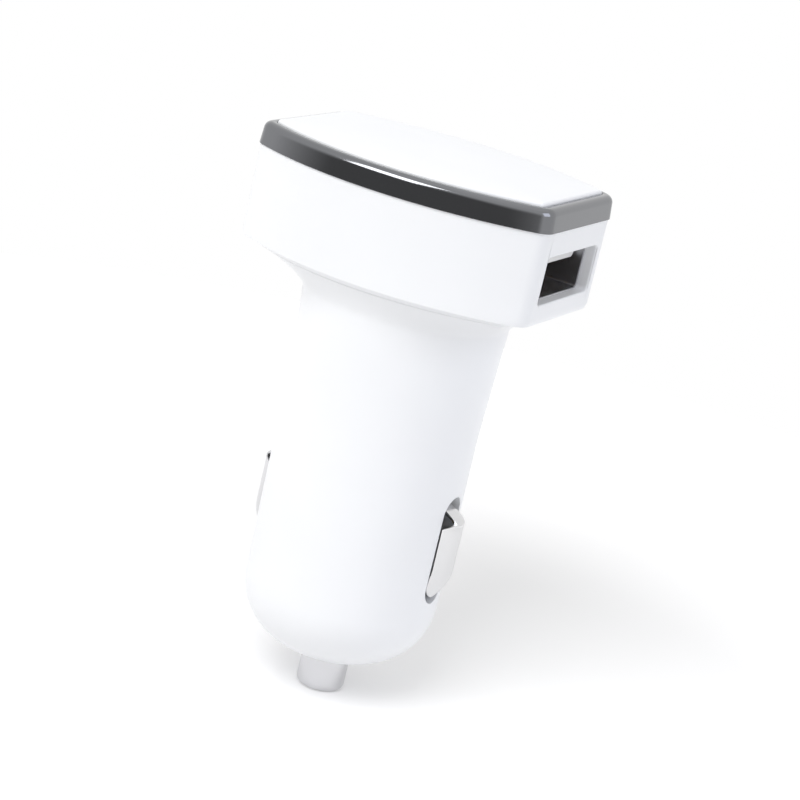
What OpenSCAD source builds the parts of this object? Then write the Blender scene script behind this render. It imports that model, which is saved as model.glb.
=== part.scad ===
// A plug-in charger for a car's 12 V accessory socket: a round barrel with a sprung tip and two
// sprung side contacts carries a wide head with a USB socket in each end.
// The plug's axis is Z, the tip's end is at the origin and the head's long side is along X.

/* [Barrel] */
// Outer diameter of the barrel, which slides into the car's socket
barrel_d = 20.8; // [20.4:0.1:21.0]
// Outer diameter of the barrel at its upper end, under the head
barrel_top_d = 21.8; // [21.0:0.1:22.4]
// Height at which the barrel starts to widen
taper_z = 31; // [28:0.5:36]
// How much smaller the barrel's radius is at its nose than above its slots, to leave the mould
barrel_draft = 0.05; // [0.05:0.05:0.15]
// Wall of the barrel
barrel_wall = 1.5; // [1.3:0.1:1.8]
// Height of the nose's flat end above the tip's end
nose_z = 4.5; // [3.8:0.1:5.2]
// Radius of the nose's flat end, inside its rounded corner
nose_flat_r = 3.3; // [3.1:0.1:4.0]
// Height from the tip's end to the head's lower edge
head_z = 46.9; // [46:0.1:48.5]

/* [Head] */
// Length of the head, from one USB end to the other
head_len = 32.7; // [32:0.1:34]
// Width of the head at its two flat ends
head_end_w = 16.7; // [16:0.1:18]
// Width of the head across its middle
head_mid_w = 26.6; // [25.5:0.1:28]
// Radius of the head's four upright corners
head_corner_r = 2; // [1.5:0.1:2.6]
// Height of the head's side wall
head_h = 9.55; // [9.4:0.05:11]
// Wall of the head
head_wall = 1.2; // [1:0.1:1.4]
// Height of the hollow slope from the head's lower edge down to the barrel
slope_h = 3.9; // [3:0.1:4.5]

/* [Rim and top plate] */
// Height of the grey rim above the head's wall
rim_h = 2.35; // [2.2:0.05:3.2]
// How far the rim stands out past the head's wall
rim_proud = 0.15; // [0.05:0.05:0.3]
// Width of the rim as seen from above
rim_w = 1.35; // [1.2:0.05:1.7]
// Radius of the rim's upper outer edge
rim_edge_r = 0.7; // [0.3:0.1:0.9]
// How far the rim's outer face leans in over its height
rim_lean = 0.2; // [0:0.05:0.4]
// Thickness of the top plate at its edge
plate_t = 1.7; // [1.4:0.1:2.0]
// How far the top plate's edge stands above the rim
plate_proud = 0.35; // [0.1:0.05:0.6]
// Radius of the top plate's upper edge
plate_edge_r = 0.35; // [0.2:0.05:0.5]
// Rise of the top plate from its edge to its middle
plate_rise = 0.3; // [0.1:0.05:0.6]
// Gap round the top plate and round the rim's skirt
lid_gap = 0.08; // [0.05:0.01:0.15]

/* [USB sockets] */
// Width of the opening in the head's end wall
port_w = 12.8; // [12.6:0.1:13.2]
// Height of the opening in the head's end wall
port_h = 4.9; // [4.8:0.05:5.2]
// Height of the USB sockets' middle above the head's lower edge
port_rise = 4.45; // [4.3:0.05:5.2]
// Width of the space inside a socket's metal shell
shell_in_w = 12.3; // [12.1:0.1:12.6]
// Height of the space inside a socket's metal shell
shell_in_h = 4.7; // [4.6:0.05:4.9]
// Distance from the plug's axis to the back of each USB socket
socket_back = 1.15; // [0.8:0.05:1.6]
// Thickness of the shell's sheet metal
shell_t = 0.3; // [0.2:0.05:0.35]
// Thickness of the socket's plastic tongue
tongue_t = 1.35; // [1.1:0.05:1.5]

/* [Tip] */
// Diameter of the sprung tip
tip_d = 5.24; // [4.8:0.02:5.6]
// Thickness of the flange that stops the tip inside the nose
flange_t = 0.8; // [0.6:0.1:1.0]
// How far the tip can be pushed in
tip_travel = 2.2; // [1.5:0.1:2.6]
// Thickness of the spring's wire
wire_d = 0.5; // [0.4:0.05:0.6]
// Number of turns in the spring
spring_turns = 6; // [4:1:7]
// Running clearance round the tip
tip_gap = 0.06; // [0.03:0.01:0.1]

/* [Side contacts] */
// Height of the slots' middle above the tip's end
slot_z = 19.3; // [18.5:0.1:20]
// Height of a slot
slot_h = 12; // [11.4:0.1:12.4]
// Width of a slot
slot_w = 3.7; // [3.6:0.1:4.3]
// How far a contact stands out past the barrel
contact_out = 1.4; // [1.2:0.05:1.6]
// How far a contact's long edges are bent down into its slot
contact_crown = 1.45; // [1.1:0.05:1.5]
// Thickness of a contact's metal strip
contact_t = 0.4; // [0.3:0.05:0.5]
// Gap between a contact and its slot on each side
contact_gap = 0.15; // [0.1:0.05:0.25]
// Gap below a contact's lower end, which swings down a little as it is pushed in
contact_end_gap = 0.7; // [0.4:0.05:0.9]

/* [Circuit boards] */
// Thickness of both circuit boards
board_t = 1; // [0.8:0.1:1.2]
// Gap between the upright board's long edges and the barrel's bore
board_side_gap = 0.7; // [0.6:0.05:1.2]
// Gap between the flat board and the head's end walls
board_end_gap = 2.95; // [2.4:0.05:4]
// How much narrower the flat board is than the head's ends, on each side
board_edge_gap = 0.75; // [0.6:0.05:1.2]
// Gap between a board and the grooves or slots that hold it
board_gap = 0.1; // [0.05:0.05:0.2]

/* [Hidden] */
$fn = 64;

// How far a cutting shape runs past the face that it cuts
past = 1;
// How far joined shapes run into each other
sink = 0.6;

// The barrel and its nose
barrel_r = barrel_d / 2;
barrel_top_r = barrel_top_d / 2;
bore_r = barrel_r - barrel_wall;
nose_r = barrel_r - barrel_draft - nose_flat_r;
nose_top = nose_z + nose_r;
slot_top = slot_z + slot_h / 2;
slot_low = slot_z - slot_h / 2;
draft_rise = 0.3;
draft_z = slot_top + draft_rise;
tip_r = tip_d / 2;
nose_floor = nose_z + barrel_wall;

// The head's outline: two flat ends, four round corners and two wide arcs
half_len = head_len / 2;
half_mid = head_mid_w / 2;
bulge = (head_mid_w - head_end_w) / 2;
side_r = (half_len * half_len + bulge * bulge) / (2 * bulge);
side_c = side_r - half_mid;
head_top = head_z + head_h;
floor_top = head_z + head_wall;
rim_top = head_top + rim_h;
end_steps = 2;
corner_steps = 4;
side_steps = 11;
slope_steps = 7;
ledge = 0.2;

// The rim and the plate
plate_in = rim_w - rim_proud;
skirt_w = 1.0;
skirt_h = 1.6;
plate_z = rim_top + plate_proud - plate_t;
plate_in_gap = plate_in + lid_gap;
crown_steps = 4;
crown_w = half_mid * 0.4;

// The slope's lower end
slope_low = head_z - slope_h;

// The USB sockets
port_z = head_z + port_rise;
port_corner = 0.5;
shell_w = shell_in_w + 2 * shell_t;
shell_h = shell_in_h + 2 * shell_t;
shell_front = half_len - head_wall;
shell_back = socket_back;
shell_len = shell_front - shell_back;
block_len = 2.2;
block_front = shell_back + block_len;
tongue_in = 0.8;
tongue_side = 0.6;
tongue_w = shell_in_w - 2 * tongue_side;
tongue_gap = 0.3;
tongue_top = port_z + shell_in_h / 2 - tongue_gap;
tongue_front = shell_front - tongue_in;
tongue_bevel = 0.4;
pin_t = 0.2;
pin_w = 1.0;
pin_places = [-3.5, -1, 1, 3.5];
pin_end = 0.5;
finger_w = 1.8;
finger_len = 5.5;
finger_bend = 3.5;
finger_y = 3.2;
finger_slit = 0.4;
leg_back = 9.65;
leg_front = 4.65;
leg_places = [shell_front - leg_back, shell_front - leg_front];
leg_w = 1.2;

// The boards
barrel_board_w = 2 * (bore_r - board_side_gap);
head_board_len = 2 * (shell_front - board_end_gap);
head_board_w = head_end_w - 2 * board_edge_gap;
head_board_top = port_z - shell_h / 2;
head_board_z = head_board_top - board_t;
head_board_r = 1.5;
leg_end = head_board_z - pin_end;
tab_w = 8;
tab_out = 0.6;
post_r = 1;
post_inset = 1.2;
post_x = head_board_len / 2 - post_inset;
post_y = 3.4;
post_drop = 2.7;
post_z = floor_top - post_drop;
rib_w = 1.2;
board_grip = 0.5;
rib_in = board_side_gap + board_grip;

// The tip, its spring and its seat
inner_gap = 0.1;
flange_r = nose_flat_r - inner_gap;
tip_round = 0.7;
stub_r = 1.9;
stub_h = 1.4;
spring_r = flange_r - wire_d / 2 - inner_gap;
spring_z = nose_floor + flange_t;
turn_gap = 0.1;
seat_t = 0.6;
seat_r = 3.4;
spigot_h = 1.6;
stub_clear = 2.4;
seat_z = spring_z + stub_h + tip_travel + stub_clear + spigot_h;
prong_t = 0.5;
prong_w = 4;
prong_h = 3.2;
barrel_board_z = seat_z + seat_t;

// The side contacts
slot_r = slot_w / 2;
slot_c = slot_h / 2 - slot_r;
contact_w = slot_w - 2 * contact_gap;
neck_w = 2.2;
crest_x = barrel_r + contact_out;
wall_gap = 0.3;
strip_x = bore_r - contact_t - wall_gap;
ramp_h = 2.7;
tail_h = 3.4;
tail_in = 1.5;
ramp_drop = 0.15;
strip_rise = 3;
neck_drop = 2;
wide_drop = 3.3;
clip_rise = 2.1;
ramp_top = slot_top - ramp_drop;
crest_top = ramp_top - ramp_h;
strip_low = slot_low + contact_end_gap;
crest_low = strip_low + tail_h;
strip_low_x = crest_x - tail_in;
strip_top = slot_top + strip_rise;
ramp_steps = 9;
tail_steps = 8;
across_steps = 4;
end_half_w = 0.35;
crown_r = (pow(contact_w / 2, 2) + pow(contact_crown, 2)) / (2 * contact_crown);
neck_z = slot_top - neck_drop;
wide_z = slot_top - wide_drop;
clip_z = slot_top + clip_rise;
clip_h = 1.1;
clip_t = 0.75;
clip_gap = 0.2;
clip_side = 0.35;
clip_w = 6;
clip_in_w = neck_w + 2 * clip_side;
lead_r = 0.35;
lead_bend = 1.2;
lead_x = strip_x + contact_t / 2;
lead_gap = 0.2;
lead_z = strip_top + lead_gap;
lead_rise = 1.5;
joint_r = 0.9;
joint_h = 0.5;

// The parts on the upright board, placed by their heights on it
coil_w = 7;
coil_h = 4.2;
coil_cut = 1.2;
coil_dish = 0.3;
coil_z = 37;
can_d = 6.3;
can_h = 5.8;
can_foot = 0.9;
can_foot_w = 6.6;
can_foot_r = 0.8;
can_groove = 0.3;
input_can_z = 22.5;
output_can_z = 38;
chip_l = 5;
chip_w = 4;
chip_h = 1.5;
chip_lift = 0.15;
chip_y = 1.2;
chip_z = 24.5;
chip_legs = 4;
chip_leg_pitch = 1.27;
chip_leg_w = 0.4;
chip_leg_out = 1;
chip_leg_h = 0.5;
diode_size = [2.1, 2.6, 4.3];
diode_lift = 0.1;
diode_in = 2.4;
diode_y = diode_in - barrel_board_w / 2;
diode_z = 22;
diode_tab = [0.4, 1.6, 5.1];
fuse_size = [0.6, 1.6, 3.2];
fuse_in = 4.2;
fuse_y = barrel_board_w / 2 - fuse_in;
fuse_z = 18.6;
small_size = [0.5, 0.8, 1.6];
small_in = [4.6, 2.8];
small_front_y = [for (d = small_in) barrel_board_w / 2 - d];
small_back_in = 3;
small_back_y = barrel_board_w / 2 - small_back_in;
small_front_z = 31.5;
small_back_z = [28, 31.5];

white = [0.95, 0.96, 0.97];
rim_grey = [0.28, 0.29, 0.3];
steel = [0.78, 0.79, 0.8];
board_green = [0.1, 0.4, 0.25];
black = [0.08, 0.08, 0.09];

// Corner points of the head's outline for a quarter, drawn in from the outline by a distance
function corner_r(in) = max(head_corner_r - in, 0.3);
function corner_x(in) = half_len - in - corner_r(in);
function corner_y(in) =
    sqrt(pow(side_r - in - corner_r(in), 2) - pow(corner_x(in), 2)) - side_c;
function corner_turn(in) = atan2(corner_y(in) + side_c, corner_x(in));
function quarter(in) = concat(
    [for (i = [0 : end_steps - 1]) [half_len - in, corner_y(in) * i / end_steps]],
    [for (i = [0 : corner_steps])
        let (a = corner_turn(in) * i / corner_steps)
        [corner_x(in) + corner_r(in) * cos(a), corner_y(in) + corner_r(in) * sin(a)]],
    [for (i = [1 : side_steps])
        let (a = corner_turn(in) + (90 - corner_turn(in)) * i / side_steps)
        [(side_r - in) * cos(a), (side_r - in) * sin(a) - side_c]]
);
quarter_last = end_steps + corner_steps + side_steps;

// The whole outline, from the middle of the side at +Y and on towards -X
function outline(in) =
    let (q = quarter(in))
    concat(
        [for (i = [0 : quarter_last]) let (p = q[quarter_last - i]) [-p.x, p.y]],
        [for (i = [1 : quarter_last]) -q[i]],
        [for (i = [1 : quarter_last]) let (p = q[quarter_last - i]) [p.x, -p.y]],
        [for (i = [1 : quarter_last - 1]) q[i]]
    );

// A ring of the slope, a share of the way from the head's outline to a circle
function slope_drop(u) = (u + 1 - sqrt(1 - u * u)) / 2;
function slope_ring(in, r, u, z) =
    [for (p = outline(in))
        let (n = norm(p))
        [p.x * (1 - u) + p.x / n * r * u, p.y * (1 - u) + p.y / n * r * u, z - slope_h * slope_drop(u)]];

// A closed solid through rings of as many points each, from the lowest ring up. A bent sheet's rings
// go along its outer face and back along its inner one, so its ends are closed from face to face.
module loft(rings, bent_sheet = false) {
    count = len(rings[0]);
    last = len(rings) - 1;
    points = [for (ring = rings) each ring];
    sides = [for (k = [0 : last - 1], i = [0 : count - 1])
        let (j = (i + 1) % count)
        [k * count + i, (k + 1) * count + i, (k + 1) * count + j, k * count + j]];
    bottom = bent_sheet
        ? [for (i = [0 : count / 2 - 2]) [i, i + 1, count - 2 - i, count - 1 - i]]
        : [[for (i = [0 : count - 1]) i]];
    top = [for (face = bottom) [for (i = [len(face) - 1 : -1 : 0]) last * count + face[i]]];
    polyhedron(points = points, faces = concat(sides, bottom, top), convexity = 4);
}

function flat_ring(in, z) = [for (p = outline(in)) [p.x, p.y, z]];

module head_prism(in, z, h) {
    translate([0, 0, z]) linear_extrude(h) polygon(outline(in));
}

// The slope under the head, or the space inside it
module slope(in, r, z) {
    steps = [for (k = [slope_steps : -1 : 0]) slope_ring(in + ledge, r - ledge, k / slope_steps, z)];
    loft(concat(steps, [flat_ring(in + ledge, z + sink)]));
}

// Half of the nose and barrel, or of the space inside them, drawn in by a wall: the barrel has its
// mould's draft up to the slots' tops, is a true cylinder above them and widens under the head
module barrel_half(wall, top_r, top) {
    r = nose_r - wall;
    translate([nose_flat_r, nose_top]) intersection() {
        circle(r);
        translate([0, -r]) square(r);
    }
    translate([0, nose_top - r]) square([nose_flat_r, r]);
    polygon([
        [0, nose_top],
        [nose_flat_r + r, nose_top],
        [barrel_r - wall, draft_z],
        [barrel_r - wall, taper_z],
        [top_r, slope_low],
        [top_r, top],
        [0, top]
    ]);
}

module both_ends() {
    children();
    rotate([0, 0, 180]) children();
}

module port_cut() {
    translate([half_len - head_wall - past, 0, port_z]) rotate([90, 0, 90])
        linear_extrude(head_wall + 2 * past) rounded_box(port_w, port_h, port_corner);
}

module rounded_box(w, h, r) {
    square([w - 2 * r, h], center = true);
    square([w, h - 2 * r], center = true);
    for (x = [-1, 1], y = [-1, 1]) translate([x * (w / 2 - r), y * (h / 2 - r)]) circle(r);
}

module slot_cut() {
    translate([bore_r / 2, 0, slot_z]) rotate([90, 0, 90]) linear_extrude(barrel_r) {
        square([slot_w, 2 * slot_c], center = true);
        for (s = [-1, 1]) translate([0, s * slot_c]) circle(slot_r);
    }
}

// The grooves that hold the upright board, one on each side
module board_ribs() {
    both_ends() for (x = [-1, 1])
        translate([x * (board_t + 2 * board_gap + rib_w) / 2 - rib_w / 2, bore_r - rib_in, nose_top])
            cube([rib_w, rib_in + sink / 2, slope_low - nose_top]);
}

// The pocket that holds the upper end of a side contact
module contact_clip() {
    back = strip_x - clip_gap;
    translate([back - clip_t, -clip_w / 2, clip_z]) cube([clip_t, clip_w, clip_h]);
    for (s = [0, 1]) mirror([0, s, 0])
        translate([back - clip_t, clip_in_w / 2, clip_z])
            cube([clip_t + clip_gap + contact_t + wall_gap, (clip_w - clip_in_w) / 2, clip_h]);
}

module housing() {
    color(white) {
        difference() {
            union() {
                head_prism(0, head_z, head_h);
                slope(0, barrel_top_r, head_z);
                rotate_extrude() barrel_half(0, barrel_top_r, head_z + sink);
            }
            head_prism(head_wall, floor_top, head_h);
            slope(head_wall, bore_r, floor_top);
            rotate_extrude() barrel_half(barrel_wall, bore_r, floor_top + sink / 2);
            translate([0, 0, nose_z - past]) cylinder(r = tip_r + tip_gap, h = barrel_wall + 2 * past);
            both_ends() {
                port_cut();
                slot_cut();
            }
        }
        board_ribs();
        both_ends() contact_clip();
        for (x = [-1, 1], y = [-1, 1])
            translate([x * post_x, y * post_y, post_z]) cylinder(r = post_r, h = head_board_z - post_z);
    }
}

// A closed ring whose section goes round through rings of as many points each
module ring_loft(rings) {
    count = len(rings[0]);
    turns = len(rings);
    points = [for (ring = rings) each ring];
    sides = [for (k = [0 : turns - 1], i = [0 : count - 1])
        let (j = (i + 1) % count, n = (k + 1) % turns)
        [k * count + i, n * count + i, n * count + j, k * count + j]];
    polyhedron(points = points, faces = sides, convexity = 6);
}

// The rim: a rounded band, a ledge for the top plate and a skirt inside the head's wall
module rim_ring() {
    skirt_out = head_wall + lid_gap;
    skirt_in = skirt_out + skirt_w;
    skirt_z = head_top - skirt_h;
    color(rim_grey) ring_loft(concat(
        [flat_ring(-rim_proud, head_top)],
        [for (a = [0 : 18 : 90])
            flat_ring(rim_lean - rim_proud + rim_edge_r * (1 - cos(a)), rim_top - rim_edge_r * (1 - sin(a)))],
        [
            flat_ring(plate_in, rim_top),
            flat_ring(plate_in, plate_z),
            flat_ring(skirt_in, plate_z),
            flat_ring(skirt_in, skirt_z),
            flat_ring(skirt_out, skirt_z),
            flat_ring(skirt_out, head_top)
        ]
    ));
}

module top_plate() {
    edge_z = plate_z + plate_t;
    color(white) loft(concat(
        [flat_ring(plate_in_gap, plate_z)],
        [for (a = [0 : 22.5 : 90])
            flat_ring(plate_in_gap + plate_edge_r * (1 - cos(a)), edge_z - plate_edge_r * (1 - sin(a)))],
        [for (i = [1 : crown_steps])
            let (u = i / crown_steps)
            flat_ring(plate_in_gap + plate_edge_r + u * crown_w, edge_z + plate_rise * u * (2 - u))]
    ));
}

module head_board() {
    color(board_green) translate([0, 0, head_board_z]) difference() {
        linear_extrude(board_t) rounded_box(head_board_len, head_board_w, head_board_r);
        translate([0, 0, board_t / 2]) {
            cube([board_t + 2 * board_gap, tab_w + 2 * board_gap, 2 * board_t], center = true);
            both_ends() {
                for (x = leg_places, s = [-1, 1])
                    translate([x, s * (shell_w - shell_t) / 2, 0])
                        cube([leg_w + 2 * board_gap, shell_t + 2 * board_gap, 2 * board_t], center = true);
                for (y = pin_places)
                    translate([block_front + pin_t / 2, y, 0])
                        cube([pin_t + 2 * board_gap, pin_w + 2 * board_gap, 2 * board_t], center = true);
            }
        }
    }
}

module barrel_board() {
    color(board_green) {
        translate([-board_t / 2, -barrel_board_w / 2, barrel_board_z])
            cube([board_t, barrel_board_w, head_board_z - barrel_board_z]);
        translate([-board_t / 2, -tab_w / 2, head_board_z - sink])
            cube([board_t, tab_w, sink + board_t + tab_out]);
    }
}

// A spring finger cut from the shell's sheet and bent into the socket
module shell_finger() {
    translate([shell_back + shell_len / 3, -finger_w / 2, -shell_h / 2])
        rotate([0, -finger_bend, 0]) cube([finger_len, finger_w, shell_t]);
}

module finger_opening() {
    translate([shell_back + shell_len / 3 + sink, -finger_w / 2 - finger_slit, -shell_h / 2 - past])
        cube([finger_len + finger_slit, finger_w + 2 * finger_slit, shell_t + past + sink / 2]);
}

module four_fingers() {
    for (m = [0, 1], s = [-1, 1]) mirror([0, 0, m]) translate([0, s * finger_y, 0]) children();
}

module usb_shell() {
    color(steel) {
        translate([0, 0, port_z]) {
            difference() {
                translate([shell_back, -shell_w / 2, -shell_h / 2]) cube([shell_len, shell_w, shell_h]);
                translate([shell_back - past, -shell_in_w / 2, -shell_in_h / 2])
                    cube([shell_len + 2 * past, shell_in_w, shell_in_h]);
                translate([shell_back - past, -shell_in_w / 2, -shell_h / 2 - past])
                    cube([block_len + pin_t + past + sink, shell_in_w, shell_t + 2 * past]);
                four_fingers() finger_opening();
            }
            four_fingers() shell_finger();
        }
        for (x = leg_places, s = [-1, 1])
            translate([x - leg_w / 2, s * (shell_w - shell_t) / 2 - shell_t / 2, leg_end])
                cube([leg_w, shell_t, port_z - leg_end]);
    }
}

module usb_tongue() {
    low = tongue_top - tongue_t;
    color(white) {
        translate([shell_back, -shell_in_w / 2, head_board_top])
            cube([block_len, shell_in_w, port_z + shell_in_h / 2 - head_board_top]);
        translate([block_front - sink, 0, 0]) rotate([90, 0, 90])
            linear_extrude(tongue_front - block_front + sink) polygon([
                [-tongue_w / 2 + tongue_bevel, low],
                [tongue_w / 2 - tongue_bevel, low],
                [tongue_w / 2, low + tongue_bevel],
                [tongue_w / 2, tongue_top],
                [-tongue_w / 2, tongue_top],
                [-tongue_w / 2, low + tongue_bevel]
            ]);
    }
}

module usb_pins() {
    low = tongue_top - tongue_t;
    color("gold") for (y = pin_places) translate([0, y - pin_w / 2, 0]) {
        translate([block_front, 0, low - pin_t]) cube([tongue_front - tongue_in - block_front, pin_w, pin_t]);
        translate([block_front, 0, leg_end]) cube([pin_t, pin_w, low - leg_end]);
    }
}

// The tip: a round pin with a rounded end, a flange inside the nose and a stub in the spring
module centre_contact() {
    color(steel) rotate_extrude() {
        translate([tip_r - tip_round, tip_round]) circle(tip_round);
        square([tip_r - tip_round, tip_round]);
        translate([0, tip_round]) square([tip_r, nose_floor - tip_round]);
        translate([0, nose_floor]) square([flange_r, flange_t]);
        translate([0, spring_z]) square([stub_r, stub_h]);
    }
}

// A coil spring with flat closed ends, between the tip's flange and its seat
module contact_spring() {
    sides = 6;
    per_turn = 16;
    count = spring_turns * per_turn;
    low = spring_z + wire_d / 2;
    rise = seat_z - spring_z - wire_d;
    end_pitch = wire_d + turn_gap;
    pitch = (rise - 2 * end_pitch) / (spring_turns - 2);
    function height(turn) =
        turn < 1 ? end_pitch * turn :
        turn > spring_turns - 1 ? rise - end_pitch * (spring_turns - turn) :
        end_pitch + pitch * (turn - 1);
    color(steel) loft([for (i = [0 : count])
        let (a = 360 * i / per_turn, z = low + height(i / per_turn))
        [for (k = [0 : sides - 1])
            let (b = -360 * k / sides, r = spring_r + wire_d / 2 * cos(b))
            [r * cos(a), r * sin(a), z + wire_d / 2 * sin(b)]]
    ]);
}

module spring_seat() {
    color("goldenrod") {
        translate([0, 0, seat_z]) cylinder(r = seat_r, h = seat_t);
        translate([0, 0, seat_z - spigot_h]) cylinder(r = stub_r, h = spigot_h + seat_t / 2);
        for (s = [0, 1]) mirror([s, 0, 0])
            translate([board_t / 2, -prong_w / 2, seat_z + seat_t / 2])
                cube([prong_t, prong_w, prong_h + seat_t / 2]);
    }
}

// The strip's outer face along its middle, from its lower end up: out of the slot, along and in again
function ease(u) = (1 - cos(180 * u)) / 2;
strip_out_x = strip_x + contact_t;
strip_line = concat(
    [for (i = [0 : tail_steps])
        let (u = 1 - pow(1 - i / tail_steps, 2))
        [crest_x - (crest_x - strip_low_x) * (1 - sin(90 * u)), strip_low + (crest_low - strip_low) * u]],
    [for (i = [0 : ramp_steps])
        let (u = i / ramp_steps)
        [crest_x + (strip_out_x - crest_x) * ease(u), crest_top + (ramp_top - crest_top) * u]],
    [[strip_out_x, strip_top]]
);

// Half the strip's width at a height: round at its lower end, then as wide as the slot lets it be
function strip_half(z) =
    let (wide = contact_w / 2, low = strip_low + wide)
    z < low ? max(end_half_w, sqrt(max(0, wide * wide - pow(low - z, 2)))) :
    z < wide_z ? wide :
    z < neck_z ? wide + (neck_w / 2 - wide) * ease((z - wide_z) / (neck_z - wide_z)) :
    neck_w / 2;

// How flat the strip is at a height: bent to a round back in the slot, flat in its pocket
function strip_flat(z) = z < wide_z ? 0 : z < ramp_top ? ease((z - wide_z) / (ramp_top - wide_z)) : 1;

// The strip's section at a point of its line, as thick on a slope as where it stands upright
function strip_ring(p, before, after) =
    let (
        flat = strip_flat(p.y),
        side = asin(strip_half(p.y) / crown_r),
        thick = contact_t * norm(after - before) / (after.y - before.y),
        turns = [for (k = [-across_steps : across_steps]) side * k / across_steps],
        outer = [for (a = turns) [p.x - (1 - flat) * crown_r * (1 - cos(a)), crown_r * sin(a), p.y]],
        inner = [for (i = [2 * across_steps : -1 : 0])
            let (a = turns[i], bend = 1 - flat)
            outer[i] - [thick * (flat + bend * cos(a)), contact_t * bend * sin(a), 0]]
    )
    concat(outer, inner);

module side_contact() {
    last = len(strip_line) - 1;
    color(steel) loft(bent_sheet = true, rings = [for (i = [0 : last])
        strip_ring(strip_line[i], strip_line[max(i - 1, 0)], strip_line[min(i + 1, last)])
    ]);
}

// A short wire from the upright board to the upper end of a side contact
module contact_lead() {
    bend_x = lead_x - lead_bend;
    bend_z = lead_z + lead_rise;
    color("tomato") {
        translate([lead_x, 0, lead_z]) cylinder(r = lead_r, h = lead_rise);
        translate([bend_x, 0, bend_z]) rotate([90, 0, 0])
            rotate_extrude(angle = 90) translate([lead_bend, 0]) circle(lead_r);
        translate([board_t / 2, 0, bend_z + lead_bend]) rotate([0, 90, 0])
            cylinder(r = lead_r, h = bend_x - board_t / 2);
    }
    color(steel) translate([board_t / 2, 0, bend_z + lead_bend]) rotate([0, 90, 0])
        cylinder(r = joint_r, h = joint_h);
}

// A shielded coil, square with cut corners, on the upright board
module inductor() {
    w = coil_w / 2;
    c = w - coil_cut;
    color([0.25, 0.25, 0.27]) translate([board_t / 2, 0, coil_z]) rotate([0, 90, 0]) difference() {
        linear_extrude(coil_h)
            polygon([[-c, -w], [c, -w], [w, -c], [w, c], [c, w], [-c, w], [-w, c], [-w, -c]]);
        translate([0, 0, coil_h - coil_dish]) cylinder(r = c, h = past);
    }
}

// A round can with a groove, on a square foot
module capacitor(z) {
    can_r = can_d / 2;
    translate([-board_t / 2, 0, z]) rotate([0, -90, 0]) {
        color(black) linear_extrude(can_foot) rounded_box(can_foot_w, can_foot_w, can_foot_r);
        color(steel) rotate_extrude() {
            translate([0, can_foot / 2]) square([can_r - can_groove, can_h - can_foot / 2]);
            translate([0, can_foot / 2]) square([can_r, can_foot]);
            translate([0, 2 * can_foot]) square([can_r, can_h - 2 * can_foot]);
        }
    }
}

module input_capacitor() {
    capacitor(input_can_z);
}

module output_capacitor() {
    capacitor(output_can_z);
}

module converter_chip() {
    color(black) translate([board_t / 2, chip_y, chip_z]) {
        translate([chip_lift, 0, 0]) cube([chip_h, chip_w, chip_l]);
        first = (chip_l - (chip_legs - 1) * chip_leg_pitch - chip_leg_w) / 2;
        for (i = [0 : chip_legs - 1])
            translate([0, -chip_leg_out, first + i * chip_leg_pitch])
                cube([chip_leg_h, chip_w + 2 * chip_leg_out, chip_leg_w]);
    }
}

module diode() {
    color(black) translate([board_t / 2, diode_y, diode_z]) {
        translate([diode_lift, 0, 0]) cube(diode_size);
        translate([0, (diode_size.y - diode_tab.y) / 2, (diode_size.z - diode_tab.z) / 2]) cube(diode_tab);
    }
}

module fuse() {
    color("ivory") translate([board_t / 2, fuse_y, fuse_z]) cube(fuse_size);
}

// Small resistors and capacitors on both faces of the upright board
module chip_parts() {
    color("tan") for (s = [-1, 1]) {
        for (y = small_front_y)
            translate([board_t / 2, s * y - small_size.y / 2, small_front_z]) cube(small_size);
        for (z = small_back_z)
            translate([-board_t / 2 - small_size.x, s * small_back_y - small_size.y / 2, z]) cube(small_size);
    }
}

housing();
rim_ring();
top_plate();
head_board();
barrel_board();
usb_shell();  // usb_shell_right
rotate([0, 0, 180]) usb_shell();  // usb_shell_left
usb_tongue();  // usb_tongue_right
rotate([0, 0, 180]) usb_tongue();  // usb_tongue_left
usb_pins();  // usb_pins_right
rotate([0, 0, 180]) usb_pins();  // usb_pins_left
centre_contact();
contact_spring();
spring_seat();
side_contact();  // side_contact_right
rotate([0, 0, 180]) side_contact();  // side_contact_left
contact_lead();  // contact_lead_right
rotate([0, 0, 180]) contact_lead();  // contact_lead_left
inductor();
input_capacitor();
output_capacitor();
converter_chip();
diode();
fuse();
chip_parts();
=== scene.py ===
# A car charger plug with a USB socket in each end of its head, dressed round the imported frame.
# Z runs up the plug's axis from the tip, and X runs towards the socket that the camera sees.
import bmesh
import bpy
import math
from mathutils import Matrix, Vector


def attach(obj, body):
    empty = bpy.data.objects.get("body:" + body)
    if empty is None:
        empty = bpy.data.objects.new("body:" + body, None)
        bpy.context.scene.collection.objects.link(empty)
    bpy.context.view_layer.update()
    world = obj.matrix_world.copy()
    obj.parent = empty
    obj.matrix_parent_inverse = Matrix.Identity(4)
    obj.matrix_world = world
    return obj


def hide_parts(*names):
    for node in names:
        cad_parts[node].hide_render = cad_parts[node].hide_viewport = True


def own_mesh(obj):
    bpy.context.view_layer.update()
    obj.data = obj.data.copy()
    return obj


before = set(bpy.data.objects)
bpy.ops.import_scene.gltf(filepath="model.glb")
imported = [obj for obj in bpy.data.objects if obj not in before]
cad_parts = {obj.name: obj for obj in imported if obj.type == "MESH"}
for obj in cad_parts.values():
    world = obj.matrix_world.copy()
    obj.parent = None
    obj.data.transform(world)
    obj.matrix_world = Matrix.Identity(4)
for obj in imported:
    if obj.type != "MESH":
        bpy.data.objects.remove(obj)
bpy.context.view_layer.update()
mm = 0.001
weld = 0.004  # mm, points closer than this count as one
near = 0.01  # mm, lengths that differ by less than this count as the same
manySides = 100  # only the head's level faces have more sides than this
faceOn = 0.9  # share of a normal along an axis from which a face counts as looking that way
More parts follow.
